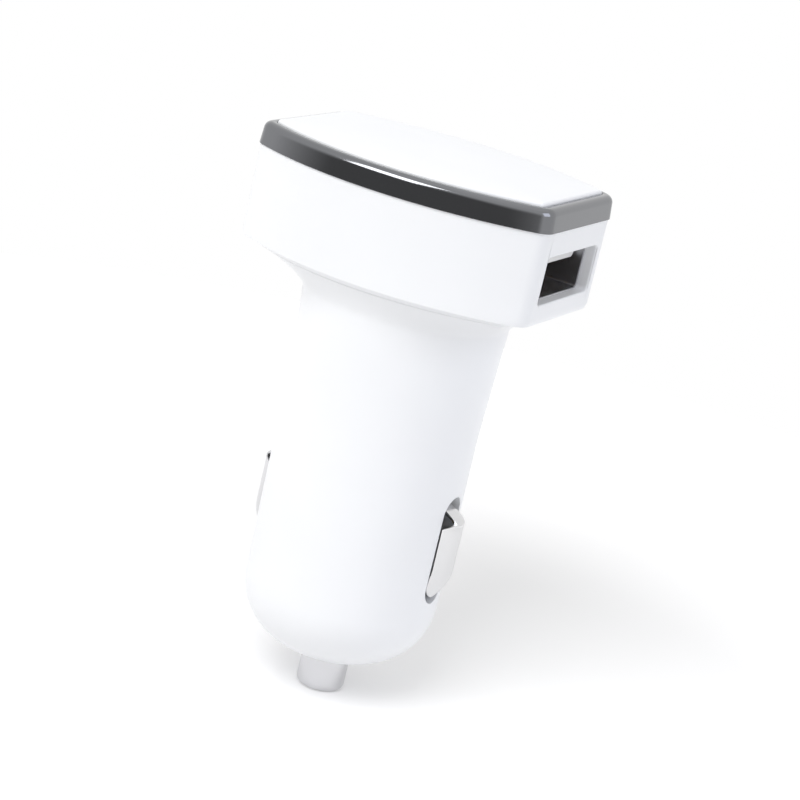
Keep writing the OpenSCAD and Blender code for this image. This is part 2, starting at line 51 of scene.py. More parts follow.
smoothBelow = 35  # degrees, edges that turn by more stay sharp in the shading
cornerFrom = 50  # degrees, edges that turn by more are corners of a moulding
sheetFrom = 60  # degrees, edges that turn by more are cut edges of sheet metal
softSteps = 3  # cuts of a small round
print("frame loaded")


# Small helpers for modelling as by hand; all sizes in the pieces below are in mm

def deselectAll():
    for ob in bpy.context.selected_objects:
        ob.select_set(False)


def makeActive(ob):
    deselectAll()
    ob.select_set(True)
    bpy.context.view_layer.objects.active = ob


def editOn(ob):
    makeActive(ob)
    bpy.ops.object.mode_set(mode="EDIT")


def editOff():
    bpy.ops.object.mode_set(mode="OBJECT")


def inMetres(values):
    return [v * mm for v in values]


def newCube(name, size, place):
    # a cube primitive of a size at a place, left in edit mode for shaping
    deselectAll()
    bpy.ops.mesh.primitive_cube_add(size=1)
    ob = bpy.context.object
    ob.name = name
    bpy.ops.object.mode_set(mode="EDIT")
    bpy.ops.transform.resize(value=inMetres(size))
    bpy.ops.transform.translate(value=inMetres(place))
    return ob


def newPoint(name, place):
    # a plane merged to one vertex, to draw a line from, left in edit mode
    deselectAll()
    bpy.ops.mesh.primitive_plane_add(size=mm)
    ob = bpy.context.object
    ob.name = name
    bpy.ops.object.mode_set(mode="EDIT")
    bpy.ops.mesh.select_mode(type="VERT")
    bpy.ops.mesh.merge(type="CENTER")
    bpy.ops.transform.translate(value=inMetres(place))
    return ob


def pull(move):
    # extrudes what is selected along a way
    bpy.ops.mesh.extrude_region_move(TRANSFORM_OT_translate={"value": inMetres(move)})


def shift(move):
    bpy.ops.transform.translate(value=inMetres(move))


def scale(factors, centre):
    bpy.ops.transform.resize(value=factors, center_override=inMetres(centre))


def sweep(centre, degrees, steps, axis=(0, 0, 1)):
    # spins what is selected about a centre; the operator counts its angle the other way round
    bpy.ops.mesh.spin(steps=steps, angle=-math.radians(degrees), center=inMetres(centre), axis=axis)


def pick(ob, kind, test):
    # selects the vertices, edges or faces whose middle, in mm, passes a test
    bpy.ops.mesh.select_all(action="DESELECT")
    bpy.ops.mesh.select_mode(type=kind)
    bm = bmesh.from_edit_mesh(ob.data)
    for item in {"VERT": bm.verts, "EDGE": bm.edges, "FACE": bm.faces}[kind]:
        if kind == "VERT":
            mid = item.co / mm
        elif kind == "EDGE":
            mid = (item.verts[0].co + item.verts[1].co) / 2 / mm
        else:
            mid = item.calc_center_median() / mm
        if test(mid, item):
            item.select_set(True)
    bm.select_flush_mode()
    bmesh.update_edit_mesh(ob.data)


def isLevel(edge, z):
    return all(abs(v.co.z / mm - z) < weld for v in edge.verts)


def isSharp(edge):
    return len(edge.link_faces) == 2 and edge.calc_face_angle(0) > math.radians(cornerFrom)


def pickLoop(ob, z, outside=0):
    # selects the level edges at a height, from a distance from the axis on
    pick(ob, "EDGE", lambda mid, edge: isLevel(edge, z) and math.hypot(mid.x, mid.y) >= outside)


def pickTwoLoops(ob, zA, zB):
    # selects the open edges at two heights
    pick(ob, "EDGE", lambda mid, edge: edge.is_boundary and (isLevel(edge, zA) or isLevel(edge, zB)))


def bevelEdges(radius, segments, clamp=False):
    bpy.ops.mesh.bevel(offset=radius * mm, segments=segments, affect="EDGES", clamp_overlap=clamp)


def closeUp(ob):
    # merges what meets and turns every face outwards
    bpy.ops.mesh.select_all(action="SELECT")
    bpy.ops.mesh.remove_doubles(threshold=weld * mm)
    bpy.ops.mesh.normals_make_consistent(inside=False)
    editOff()
    return ob


def useModifier(ob, kind, settings):
    makeActive(ob)
    mod = ob.modifiers.new(kind.lower(), kind)
    for key, value in settings.items():
        setattr(mod, key, value)
    bpy.ops.object.modifier_apply(modifier=mod.name)


def cut(ob, cutter, how="DIFFERENCE"):
    useModifier(ob, "BOOLEAN", {"operation": how, "solver": "EXACT", "object": cutter})
    bpy.data.objects.remove(cutter)


def bevelSheet(ob, width):
    # a small bevel along the cut edges of sheet metal
    useModifier(ob, "BEVEL", {"width": width * mm, "segments": 2, "limit_method": "ANGLE",
                              "angle_limit": math.radians(sheetFrom)})


def roundedBar(name, size, place, radius):
    # a bar whose edges are all rounded, used for cutters and small details
    ob = newCube(name, size, place)
    bevelEdges(radius, softSteps)
    editOff()
    return ob


def joinPieces(name, obs):
    makeActive(obs[0])
    for ob in obs:
        ob.select_set(True)
    bpy.ops.object.join()
    ob = bpy.context.object
    ob.name = name
    return ob


def turnedCopy(ob, name):
    # the same piece turned half round the axis, for the other side of the plug
    twin = ob.copy()
    twin.data = ob.data.copy()
    twin.name = name
    bpy.context.scene.collection.objects.link(twin)
    twin.data.transform(Matrix.Rotation(math.pi, 4, "Z"))
    return twin


def finishPiece(ob, body, material, nodes):
    # shades the piece, puts its material in its slot, hangs it from its body's empty and hides the CAD
    # parts that it replaces
    makeActive(ob)
    bpy.ops.object.shade_smooth_by_angle(angle=math.radians(smoothBelow))
    useModifier(ob, "WEIGHTED_NORMAL", {"keep_sharp": True})
    ob.data.materials.clear()
    ob.data.materials.append(material)
    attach(ob, body)
    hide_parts(*nodes)
    return ob


# Materials

def linearColour(hexText):
    values = [int(hexText[i:i + 2], 16) / 255 for i in (1, 3, 5)]
    return [v / 12.92 if v <= 0.04045 else ((v + 0.055) / 1.055) ** 2.4 for v in values] + [1]


def addNode(tree, kind, settings=None, links=None):
    # adds a node, sets its inputs or attributes by name and links other nodes' outputs to it
    node = tree.nodes.new(kind)
    for key, value in (settings or {}).items():
        if isinstance(key, str) and key not in node.inputs:
            setattr(node, key, value)
        else:
            node.inputs[key].default_value = value
    for key, source in (links or {}).items():
        tree.links.new(source, node.inputs[key])
    return node


def baseMaterial(name, colour, settings):
    mat = bpy.data.materials.new(name)
    mat.use_nodes = True
    tree = mat.node_tree
    shader = tree.nodes["Principled BSDF"]
    shader.inputs["Base Color"].default_value = linearColour(colour)
    for key, value in settings.items():
        shader.inputs[key].default_value = value
    return mat, tree, shader


def surfaceNoise(tree, shader, grain, height, roughness, spread):
    # fine unevenness: grain is its size and height its depth in mm, roughness varies by spread
    coords = addNode(tree, "ShaderNodeTexCoord")
    noise = addNode(tree, "ShaderNodeTexNoise", {"Scale": 1 / (grain * mm), "Detail": 3.0},
                    {"Vector": coords.outputs["Object"]})
    bump = addNode(tree, "ShaderNodeBump", {"Distance": height * mm, "Strength": 1.0},
                   {"Height": noise.outputs["Fac"]})
    tree.links.new(bump.outputs["Normal"], shader.inputs["Normal"])
    varied = addNode(tree, "ShaderNodeMapRange",
                     {"To Min": roughness - spread, "To Max": roughness + spread},
                     {"Value": noise.outputs["Fac"]})
    tree.links.new(varied.outputs["Result"], shader.inputs["Roughness"])


def colourDrift(tree, shader, colourA, colourB, size):
    # a slow drift between two near colours, size is how far apart the patches lie in mm
    coords = addNode(tree, "ShaderNodeTexCoord")
    noise = addNode(tree, "ShaderNodeTexNoise", {"Scale": 1 / (size * mm), "Detail": 2.0},
                    {"Vector": coords.outputs["Object"]})
    ramp = addNode(tree, "ShaderNodeValToRGB", None, {"Fac": noise.outputs["Fac"]})
    ramp.color_ramp.elements[0].color = linearColour(colourA)
    ramp.color_ramp.elements[1].color = linearColour(colourB)
    ramp.color_ramp.elements[0].position = 0.35
    ramp.color_ramp.elements[1].position = 0.65
    tree.links.new(ramp.outputs["Color"], shader.inputs["Base Color"])


# white ABS, injection moulded in a polished tool: even white, soft gloss, faint orange peel
mouldedAbs, tree, shader = baseMaterial("mouldedWhiteAbs", "#f3f4f6", {"IOR": 1.53})
surfaceNoise(tree, shader, grain=1.6, height=0.0025, roughness=0.3, spread=0.03)
colourDrift(tree, shader, "#f2f3f5", "#f4f5f7", 14)

# smoked chrome on ABS: a dark mirror coat, brighter where it meets the light at a slant
smokedChrome, tree, shader = baseMaterial("smokedChrome", "#7c7d80", {"Metallic": 1.0})
surfaceNoise(tree, shader, grain=2.2, height=0.0015, roughness=0.13, spread=0.03)

# nickel plate on stamped and turned contacts: bright, with faint draw lines
nickelPlate, tree, shader = baseMaterial("nickelPlate", "#d9d9da", {"Metallic": 1.0})
surfaceNoise(tree, shader, grain=0.5, height=0.002, roughness=0.2, spread=0.06)

# the same plate on the turned tip: smoother, it mirrors the floor and the dark side of the room
turnedNickel, tree, shader = baseMaterial("turnedNickel", "#d2d2d4", {"Metallic": 1.0})
surfaceNoise(tree, shader, grain=0.6, height=0.001, roughness=0.11, spread=0.03)

# tinned sheet steel of the USB shells: duller grey metal
tinnedSheet, tree, shader = baseMaterial("tinnedSheet", "#b4b4b8", {"Metallic": 1.0})
surfaceNoise(tree, shader, grain=0.4, height=0.002, roughness=0.3, spread=0.06)

# moulded nylon of the tongues: matt white
mouldedNylon, tree, shader = baseMaterial("mouldedNylon", "#eeeeec", {"IOR": 1.53})
surfaceNoise(tree, shader, grain=0.3, height=0.003, roughness=0.5, spread=0.06)
print("first materials made")


# The head's outline: two flat ends, four round corners and two wide arcs, as in the CAD model

head = {
    "length": 32.7, "endWidth": 16.7, "midWidth": 26.6, "corner": 2.0, "leastCorner": 0.3,
    "low": 46.9, "high": 56.45, "wall": 1.2, "edge": 0.4, "slope": 3.9,
    "endSteps": 10, "cornerSteps": 8, "sideSteps": 24, "edgeSteps": 4,
    "slopeCuts": 36, "innerSlopeCuts": 12, "parking": 1000,
}
barrel = {
    "radius": 10.4, "topRadius": 10.9, "taperFrom": 31.0, "bore": 8.9, "draft": 0.05, "draftFrom": 25.6,
    "nose": 4.5, "noseFlat": 3.3, "wall": 1.5, "tipHole": 2.68, "tipHoleEdge": 0.1,
    "noseSteps": 24, "innerNoseSteps": 12,
    # distances from the axis that lie in the barrel's wall, and between it and the head's outline
    "inWall": 9.5, "pastBarrel": 12,
}


def drawOutline(name, inset, z):
    # a quarter is extruded and spun from one vertex, mirrored both ways and filled
    halfLen = head["length"] / 2
    bulge = (head["midWidth"] - head["endWidth"]) / 2
    sideR = (halfLen * halfLen + bulge * bulge) / (2 * bulge)
    sideC = sideR - head["midWidth"] / 2
    r = max(head["corner"] - inset, head["leastCorner"])
    cx = halfLen - inset - r
    cy = math.sqrt((sideR - inset - r) ** 2 - cx ** 2) - sideC
    turn = math.degrees(math.atan2(cy + sideC, cx))
    ob = newPoint(name, (halfLen - inset, 0, z))
    for step in range(head["endSteps"]):
        pull((0, cy / head["endSteps"], 0))
    sweep((cx, cy, z), turn, head["cornerSteps"])
    sweep((0, -sideC, z), 90 - turn, head["sideSteps"])
    editOff()
    useModifier(ob, "MIRROR", {"use_axis": (True, True, False), "merge_threshold": weld * mm})
    editOn(ob)
    bpy.ops.mesh.select_all(action="SELECT")
    bpy.ops.mesh.remove_doubles(threshold=weld * mm)
    bpy.ops.mesh.edge_face_add()
    if facesDown(ob):
        bpy.ops.mesh.flip_normals()
    return ob


def facesDown(ob):
    return all(face.normal.z < 0 for face in bmesh.from_edit_mesh(ob.data).faces)


def insetFace(thickness, depth=0):
    bpy.ops.mesh.inset(thickness=thickness * mm, depth=depth * mm, use_even_offset=True)


# Housing: nose, barrel, slope and head in one moulding, hollow inside

def ringDown(state, radius, z):
    # extrudes the round edge to another radius and height
    pull((0, 0, z - state["z"]))
    scale((radius / state["radius"], radius / state["radius"], 1), (0, 0, z))
    state.update(radius=radius, z=z)


def hollowSlope(ob, loopZ, ringZ, cuts, outside=0):
    # bridges the head's outline to the barrel's ring, then moves each cut to the trumpet's line;
    # moved cuts wait far above the plug, so that no later height picks them again
    bpy.ops.mesh.bridge_edge_loops(number_cuts=cuts, interpolation="LINEAR")
    for i in range(1, cuts + 1):
        u = i / (cuts + 1)
        z = loopZ + (ringZ - loopZ) * u
        drop = (u + 1 - math.sqrt(1 - u * u)) / 2
        pickLoop(ob, z, outside)
        shift((0, 0, loopZ - head["slope"] * drop - z + head["parking"]))
    pick(ob, "VERT", lambda mid, vert: mid.z > head["parking"] / 2)
    shift((0, 0, -head["parking"]))


def makeHousing():
    noseR = barrel["radius"] - barrel["draft"] - barrel["noseFlat"]
    noseTop = barrel["nose"] + noseR
    slopeLow = head["low"] - head["slope"]
    floorTop = head["low"] + head["wall"]
    ob = drawOutline("housing_shell", 0, head["low"])
    pull((0, 0, head["high"] - head["low"]))
    insetFace(head["wall"])
    pull((0, 0, floorTop - head["high"]))
    pick(ob, "FACE", lambda mid, face: len(face.verts) > manySides)
    bpy.ops.mesh.delete(type="ONLY_FACE")
    # the barrel, from its ring under the slope down to the nose and back up inside
    count = 4 * (head["endSteps"] + head["cornerSteps"] + head["sideSteps"])
    bpy.ops.mesh.select_all(action="DESELECT")
    bpy.ops.mesh.select_mode(type="VERT")
    bpy.ops.mesh.primitive_circle_add(vertices=count, radius=barrel["topRadius"] * mm,
                                      location=(0, 0, slopeLow * mm))
    state = {"radius": barrel["topRadius"], "z": slopeLow}
    ringDown(state, barrel["radius"], barrel["taperFrom"])
    ringDown(state, barrel["radius"], barrel["draftFrom"])
    ringDown(state, barrel["radius"] - barrel["draft"], noseTop)
    steps = barrel["noseSteps"]
    for i in range(1, steps + 1):
        a = math.radians(90 * i / steps)
        ringDown(state, barrel["noseFlat"] + noseR * math.cos(a), noseTop - noseR * math.sin(a))
    hole, edge = barrel["tipHole"], barrel["tipHoleEdge"]
    ringDown(state, hole + edge, barrel["nose"])
    ringDown(state, hole, barrel["nose"] + edge)
    ringDown(state, hole, barrel["nose"] + barrel["wall"])
    inner, steps = noseR - barrel["wall"], barrel["innerNoseSteps"]
    for i in range(steps + 1):
        a = math.radians(90 * i / steps)
        ringDown(state, barrel["noseFlat"] + inner * math.sin(a), noseTop - inner * math.cos(a))
    ringDown(state, barrel["bore"], barrel["draftFrom"])
    innerLow = floorTop - head["slope"]
    ringDown(state, barrel["bore"], innerLow)
    pickTwoLoops(ob, head["low"], slopeLow)
    hollowSlope(ob, head["low"], slopeLow, head["slopeCuts"], barrel["inWall"])
    pickTwoLoops(ob, floorTop, innerLow)
    hollowSlope(ob, floorTop, innerLow, head["innerSlopeCuts"])
    # the soft lower edge of the head's wall
    pickLoop(ob, head["low"], barrel["pastBarrel"])
    bevelEdges(head["edge"], head["edgeSteps"])
    return closeUp(ob)


port = {
    "width": 12.8, "height": 4.9, "middle": 51.35, "corner": 0.5, "cornerSteps": 6, "softEdge": 0.18,
    "cutLong": 4.8, "margin": 0.1,
}
slot = {
    "width": 3.7, "height": 12.0, "middle": 19.3, "cornerSteps": 16, "softEdge": 0.2,
    "cutLong": 6.5, "cutMiddle": 9.25, "hair": 0.001, "margin": 0.1, "offRadius": 0.08,
}


def roundLongEdges(ob, radius, segments):
    # rounds the four edges of a bar that run along X
    pick(ob, "EDGE", lambda mid, edge: abs(edge.verts[0].co.x - edge.verts[1].co.x) > near * mm)
    bevelEdges(radius, segments)


def portCutter(side):
    size = (port["cutLong"], port["width"], port["height"])
    ob = newCube("port_cutter", size, (side * head["length"] / 2, 0, port["middle"]))
    roundLongEdges(ob, port["corner"], port["cornerSteps"])
    editOff()
    return ob


def slotCutter(side):
    # its corners are a hair under half the width, so that the two rounds of an end don't meet
    size = (slot["cutLong"], slot["width"], slot["height"])
    ob = newCube("slot_cutter", size, (side * slot["cutMiddle"], 0, slot["middle"]))
    roundLongEdges(ob, slot["width"] / 2 - slot["hair"], slot["cornerSteps"])
    editOff()
    return ob


def isAround(mid, opening):
    level = abs(mid.z - opening["middle"]) < opening["height"] / 2 + opening["margin"]
    return level and abs(mid.y) < opening["width"] / 2 + opening["margin"]


def onSlot(mid, edge):
    outer = abs(math.hypot(mid.x, mid.y) - barrel["radius"]) < slot["offRadius"]
    return outer and isAround(mid, slot) and isSharp(edge)


def onPort(mid, edge):
    outer = abs(abs(mid.x) - head["length"] / 2) < near
    return outer and isAround(mid, port) and isSharp(edge)


def softenOpenings(ob):
    # the mould leaves the outer edges of the slots and the USB openings soft
    editOn(ob)
    for test, opening in ((onSlot, slot), (onPort, port)):
        pick(ob, "EDGE", test)
        bevelEdges(opening["softEdge"], softSteps, clamp=True)
    editOff()


housing = makeHousing()
for side in (1, -1):
    cut(housing, portCutter(side))
    cut(housing, slotCutter(side))
softenOpenings(housing)
finishPiece(housing, "charger", mouldedAbs, ["housing"])
print("housing made")


# Rim: a smoked-chrome band round the head's top, with a ledge for the plate and a skirt inside

rim = {
    "height": 2.35, "proud": 0.15, "width": 1.35, "edge": 0.7, "lean": 0.2, "foot": 0.12,
    "innerEdge": 0.15, "skirtWide": 0.75, "skirtDeep": 1.6, "gap": 0.08,
    "edgeSteps": 10, "innerEdgeSteps": 4, "steep": 0.5,
}
plate = {
    "thick": 1.7, "proud": 0.35, "edge": 0.35, "edgeSteps": 8, "lowEdge": 0.1, "gap": 0.08,
    "rise": 0.3, "crown": 0.55, "steps": 12,
}


def isCap(z):
    # the large level face at a height
    return lambda mid, face: len(face.verts) > manySides and abs(mid.z - z) < near


def looksOut(face):
    # a steep face that looks away from the axis
    middle = face.calc_center_median()
    return face.normal.z < rim["steep"] and face.normal.x * middle.x + face.normal.y * middle.y > 0


def makeRim():
    low = head["high"]
    top = low + rim["height"]
    skirtLow = low - rim["skirtDeep"]
    skirtOut = head["wall"] + rim["gap"]
    ob = drawOutline("rim_band", -rim["proud"], low)
    pull((0, 0, rim["foot"]))
    insetFace(rim["lean"], rim["height"] - rim["foot"])
    # the pocket for the plate, and the way down through the skirt
    insetFace(rim["width"] - rim["lean"])
    pull((0, 0, plate["proud"] - plate["thick"]))
    insetFace(skirtOut + rim["skirtWide"] - rim["width"] + rim["proud"])
    pull((0, 0, skirtLow - top - plate["proud"] + plate["thick"]))
    bpy.ops.mesh.delete(type="ONLY_FACE")
    # the skirt, from the band's underside
    pick(ob, "FACE", isCap(low))
    insetFace(skirtOut + rim["proud"])
    pull((0, 0, -rim["skirtDeep"]))
    insetFace(rim["skirtWide"])
    bpy.ops.mesh.delete(type="ONLY_FACE")
    closeUp(ob)
    editOn(ob)

    def atTop(mid, edge):
        return isLevel(edge, top) and isSharp(edge)

    # the band's own upper edge first, then the edge that is left, the pocket's
    pick(ob, "EDGE", lambda mid, edge: atTop(mid, edge) and any(map(looksOut, edge.link_faces)))
    bevelEdges(rim["edge"], rim["edgeSteps"])
    pick(ob, "EDGE", atTop)
    bevelEdges(rim["innerEdge"], rim["innerEdgeSteps"])
    editOff()
    return ob


def makePlate():
    low = head["high"] + rim["height"] + plate["proud"] - plate["thick"]
    top = low + plate["thick"]
    ob = drawOutline("cover_plate", rim["width"] - rim["proud"] + plate["gap"], low)
    pull((0, 0, plate["thick"]))
    pickLoop(ob, top)
    bevelEdges(plate["edge"], plate["edgeSteps"])
    pickLoop(ob, low)
    bevelEdges(plate["lowEdge"], 1)
    # a low crown: ring after ring a little smaller and higher
    pick(ob, "FACE", isCap(top))
    for i in range(plate["steps"]):
        u, v = i / plate["steps"], (i + 1) / plate["steps"]
        k = (1 - plate["crown"] * v) / (1 - plate["crown"] * u)
        pull((0, 0, plate["rise"] * (v * (2 - v) - u * (2 - u))))
        scale((k, k, 1), (0, 0, top))
    return closeUp(ob)


finishPiece(makeRim(), "charger", smokedChrome, ["rim_ring"])
finishPiece(makePlate(), "charger", mouldedAbs, ["top_plate"])
print("rim and plate made")


# Tip: a turned pin with a flange inside the nose

tip = {
    "radius": 2.62, "end": 0.7, "endSteps": 10, "flange": 3.2, "flangeLow": 6.0, "flangeHigh": 6.8,
    "flangeEdge": 0.1, "stub": 1.9, "stubTop": 8.2, "stubEdge": 0.2, "roundSteps": 96,
}


def makeTip():
    # half the section is drawn from the axis out and up, then spun
    t, soft = tip, tip["flangeEdge"]
    ob = newPoint("contact_tip", (0, 0, 0))
    pull((t["radius"] - t["end"], 0, 0))
    sweep((t["radius"] - t["end"], 0, t["end"]), 90, t["endSteps"], (0, -1, 0))
    turns = [(t["radius"], t["flangeLow"]), (t["flange"] - soft, t["flangeLow"]),
             (t["flange"], t["flangeLow"] + soft), (t["flange"], t["flangeHigh"] - soft),
             (t["flange"] - soft, t["flangeHigh"]), (t["stub"], t["flangeHigh"]),
             (t["stub"], t["stubTop"] - t["stubEdge"]), (t["stub"] - t["stubEdge"], t["stubTop"]),
             (0, t["stubTop"])]
    x, z = t["radius"], t["end"]
    for nextX, nextZ in turns:
        pull((nextX - x, 0, nextZ - z))
        x, z = nextX, nextZ
    bpy.ops.mesh.select_all(action="SELECT")
    sweep((0, 0, 0), 360, t["roundSteps"])
    return closeUp(ob)


finishPiece(makeTip(), "tip", turnedNickel, ["centre_contact"])
print("tip made")


# Spring behind the tip: round wire, made at rest length; in the plug it shortens as the tip is pushed in

spring = {
    "radius": 2.85, "wire": 0.5, "low": 6.82, "seat": 14.4, "turns": 6, "travel": 2.2,
    "wireSides": 12, "turnSteps": 32,
}


def makeSpring():
    # the wire's section is stood up at the coil's radius and screwed about the axis
    deselectAll()
    bpy.ops.mesh.primitive_circle_add(vertices=spring["wireSides"], radius=spring["wire"] / 2 * mm)
    ob = bpy.context.object
    ob.name = "tip_spring"
    bpy.ops.object.mode_set(mode="EDIT")
    bpy.ops.transform.rotate(value=math.pi / 2, orient_axis="X", center_override=(0, 0, 0))
    shift((spring["radius"], 0, spring["low"] + spring["wire"] / 2))
    editOff()
    pitch = (spring["seat"] - spring["low"] - spring["wire"]) / spring["turns"]
    useModifier(ob, "SCREW", {"angle": 2 * math.pi, "steps": spring["turnSteps"],
                              "render_steps": spring["turnSteps"],
                              "iterations": spring["turns"], "screw_offset": pitch * mm})
    editOn(ob)
    bpy.ops.mesh.select_all(action="SELECT")
    bpy.ops.mesh.fill_holes(sides=0)
    return closeUp(ob)


# Side contacts: stamped springs whose long edges are bent down, bowed out through the slots

contact = {
    "thick": 0.4, "width": 3.4, "crown": 1.45, "neck": 2.2, "crest": 11.8, "flatX": 8.6,
    "low": 14.0, "lowX": 10.3, "crestLow": 17.4, "crestTop": 22.6, "rampTop": 25.15, "top": 28.3,
    "wideTop": 22.0, "neckFrom": 23.3, "endWide": 0.7, "edge": 0.06, "leastDepth": 0.002,
    "across": 12, "crestSteps": 3, "lowSteps": 16, "rampSteps": 18, "pastRamp": 1.5,
}


def ease(u):
    return (1 - math.cos(math.pi * u)) / 2


def contactFace(z):
    # the outer face's distance from the axis at a height
    c = contact
    if z < c["crestLow"]:
        u = 1 - (z - c["low"]) / (c["crestLow"] - c["low"])
        return c["crest"] - (c["crest"] - c["lowX"]) * (1 - math.cos(math.pi / 2 * u))
    if z < c["crestTop"]:
        return c["crest"]
    u = min((z - c["crestTop"]) / (c["rampTop"] - c["crestTop"]), 1)
    return c["crest"] + (c["flatX"] - c["crest"]) * ease(u)


def contactHalf(z):
    # half the strip's width at a height
    c, wide = contact, contact["width"] / 2
    if z < c["low"] + wide:
        return max(c["endWide"] / 2, math.sqrt(max(0, wide ** 2 - (c["low"] + wide - z) ** 2)))
    if z < c["wideTop"]:
        return wide
    if z < c["neckFrom"]:
        return wide + (c["neck"] / 2 - wide) * ease((z - c["wideTop"]) / (c["neckFrom"] - c["wideTop"]))
    return c["neck"] / 2


def bendRadius():
    # the radius of the section's round back at the crest
    wide = contact["width"] / 2
    return (wide ** 2 + contact["crown"] ** 2) / (2 * contact["crown"])


def contactDepth(z):
    # how far the long edges lie behind the middle: the round back gets flat towards its pocket
    c, bendR = contact, bendRadius()
    flat = 0 if z < c["wideTop"] else ease(min((z - c["wideTop"]) / (c["rampTop"] - c["wideTop"]), 1))
    return max((1 - flat) * (bendR - math.sqrt(bendR ** 2 - contactHalf(z) ** 2)), c["leastDepth"])


def upTo(count):
    # the shares of a way after each of its steps
    return [i / count for i in range(1, count + 1)]


def makeContact():
    c, middle, bendR = contact, contact["wideTop"], bendRadius()
    side = math.degrees(math.asin(c["width"] / 2 / bendR))
    # the arched section at the crest, spun about its bend's axis
    ob = newPoint("side_spring_right", (c["crest"] - c["crown"], -c["width"] / 2, middle))
    sweep((c["crest"] - bendR, 0, middle), 2 * side, c["across"])
    # it is pulled down over the crest to the round end, then up the ramp into the pocket
    lower = [middle - (middle - c["crestLow"]) * u for u in upTo(c["crestSteps"])]
    lower += [c["low"] + (c["crestLow"] - c["low"]) * (1 - u) ** 2 for u in upTo(c["lowSteps"])]
    upper = [middle + (c["rampTop"] - middle) * u for u in upTo(c["rampSteps"])]
    upper += [c["rampTop"] + c["pastRamp"], c["top"]]
    for heights in (lower, upper):
        pickLoop(ob, middle)
        z = middle
        for nextZ in heights:
            pull((contactFace(nextZ) - contactFace(z), 0, nextZ - z))
            factors = (contactDepth(nextZ) / contactDepth(z), contactHalf(nextZ) / contactHalf(z), 1)
            scale(factors, (contactFace(nextZ), 0, nextZ))
            z = nextZ
    bpy.ops.mesh.select_all(action="SELECT")
    bpy.ops.mesh.normals_make_consistent(inside=False)
    editOff()
    if ob.data.polygons[0].normal.x < 0:
        editOn(ob)
        bpy.ops.mesh.flip_normals()
        editOff()
    useModifier(ob, "SOLIDIFY", {"thickness": c["thick"] * mm, "offset": -1, "use_quality_normals": True})
    bevelSheet(ob, c["edge"])
    return ob


contactRight = makeContact()
contactLeft = turnedCopy(contactRight, "side_spring_left")
finishPiece(contactRight, "side_spring_right", nickelPlate, ["side_contact_right"])
finishPiece(contactLeft, "side_spring_left", nickelPlate, ["side_contact_left"])
print("side contacts made")


# USB sockets: a folded sheet shell with four spring fingers, and a tongue with contact strips

usb = {
    "innerWide": 12.3, "innerHigh": 4.7, "sheet": 0.3, "sheetEdge": 0.08, "corner": 0.6, "cornerSteps": 5,
    "length": 14.0, "front": 15.15, "boardTop": 48.7, "blockLength": 2.2, "blockEdge": 0.15,
    "legs": (5.5, 10.5), "legWide": 1.2, "legEnd": 47.2, "legEdge": 0.06,
    "slit": 0.4, "windowDeep": 1.2, "windowEdge": 0.12,
    "fingerY": 3.2, "fingerLong": 5.5, "fingerWide": 1.8, "fingerFrom": 5.8, "fingerIn": 0.55,
    "fingerRoot": 0.3, "fingerExtra": 0.1, "fingerSteps": 14, "fingerShare": 0.8,
    "turnAt": 0.8, "turnOut": 1.2,
    "tongueIn": 0.8, "tongueWide": 11.1, "tongueThick": 1.35, "tongueGap": 0.3, "tongueBevel": 0.4,
    "tongueRoot": 0.3, "tongueNose": 0.2,
}


def makeShell():
    w, h, t = usb["innerWide"], usb["innerHigh"], usb["sheet"]
    front, back = usb["front"], usb["front"] - usb["length"]
    size = (usb["length"], w + 2 * t, h + 2 * t)
    shell = newCube("usb_case_right", size, ((front + back) / 2, 0, port["middle"]))
    roundLongEdges(shell, usb["corner"], usb["cornerSteps"])
    # open at both ends
    pick(shell, "FACE", lambda mid, face: abs(face.normal.x) > faceOn)
    bpy.ops.mesh.delete(type="ONLY_FACE")
    editOff()
    useModifier(shell, "SOLIDIFY", {"thickness": t * mm, "offset": -1, "use_even_offset": True})
    bevelSheet(shell, usb["sheetEdge"])
    # the windows that the fingers are cut from
    start = front - usb["fingerFrom"] - usb["fingerLong"]
    size = (usb["fingerLong"] + usb["slit"], usb["fingerWide"] + 2 * usb["slit"], usb["windowDeep"])
    for up in (1, -1):
        for side in (1, -1):
            place = (start + size[0] / 2, side * usb["fingerY"], port["middle"] + up * (h + t) / 2)
            cut(shell, roundedBar("window", size, place, usb["windowEdge"]))
    return shell


def fingerLevel(u, up):
    # the sheet's middle over the socket's at a share of the finger's length
    turn = usb["turnAt"]
    inward = usb["fingerIn"] * math.sin(math.radians(min(u / turn, 1) * 90)) ** 2
    return up * (usb["innerHigh"] / 2 + usb["sheet"] / 2 - inward + max(u - turn, 0) * usb["turnOut"])


def makeFinger(up, side):
    # a spring finger bent from the sheet into the socket, its free end turned out again
    start = usb["front"] - usb["fingerFrom"] - usb["fingerLong"] - usb["fingerRoot"]
    low = side * usb["fingerY"] - usb["fingerWide"] / 2
    ob = newPoint("finger", (start, low, port["middle"] + fingerLevel(0, up)))
    pull((0, usb["fingerWide"], 0))
    bpy.ops.mesh.select_all(action="SELECT")
    steps = usb["fingerSteps"]
    for i in range(steps):
        rise = fingerLevel((i + 1) / steps, up) - fingerLevel(i / steps, up)
        pull(((usb["fingerLong"] + usb["fingerExtra"]) / steps, 0, rise))
    editOff()
    useModifier(ob, "SOLIDIFY", {"thickness": usb["sheet"] * usb["fingerShare"] * mm, "offset": 0})
    return ob


def makeLeg(x, side):
    y = side * (usb["innerWide"] + usb["sheet"]) / 2
    size = (usb["legWide"], usb["sheet"], port["middle"] - usb["legEnd"])
    return roundedBar("leg", size, (x, y, (port["middle"] + usb["legEnd"]) / 2), usb["legEdge"])


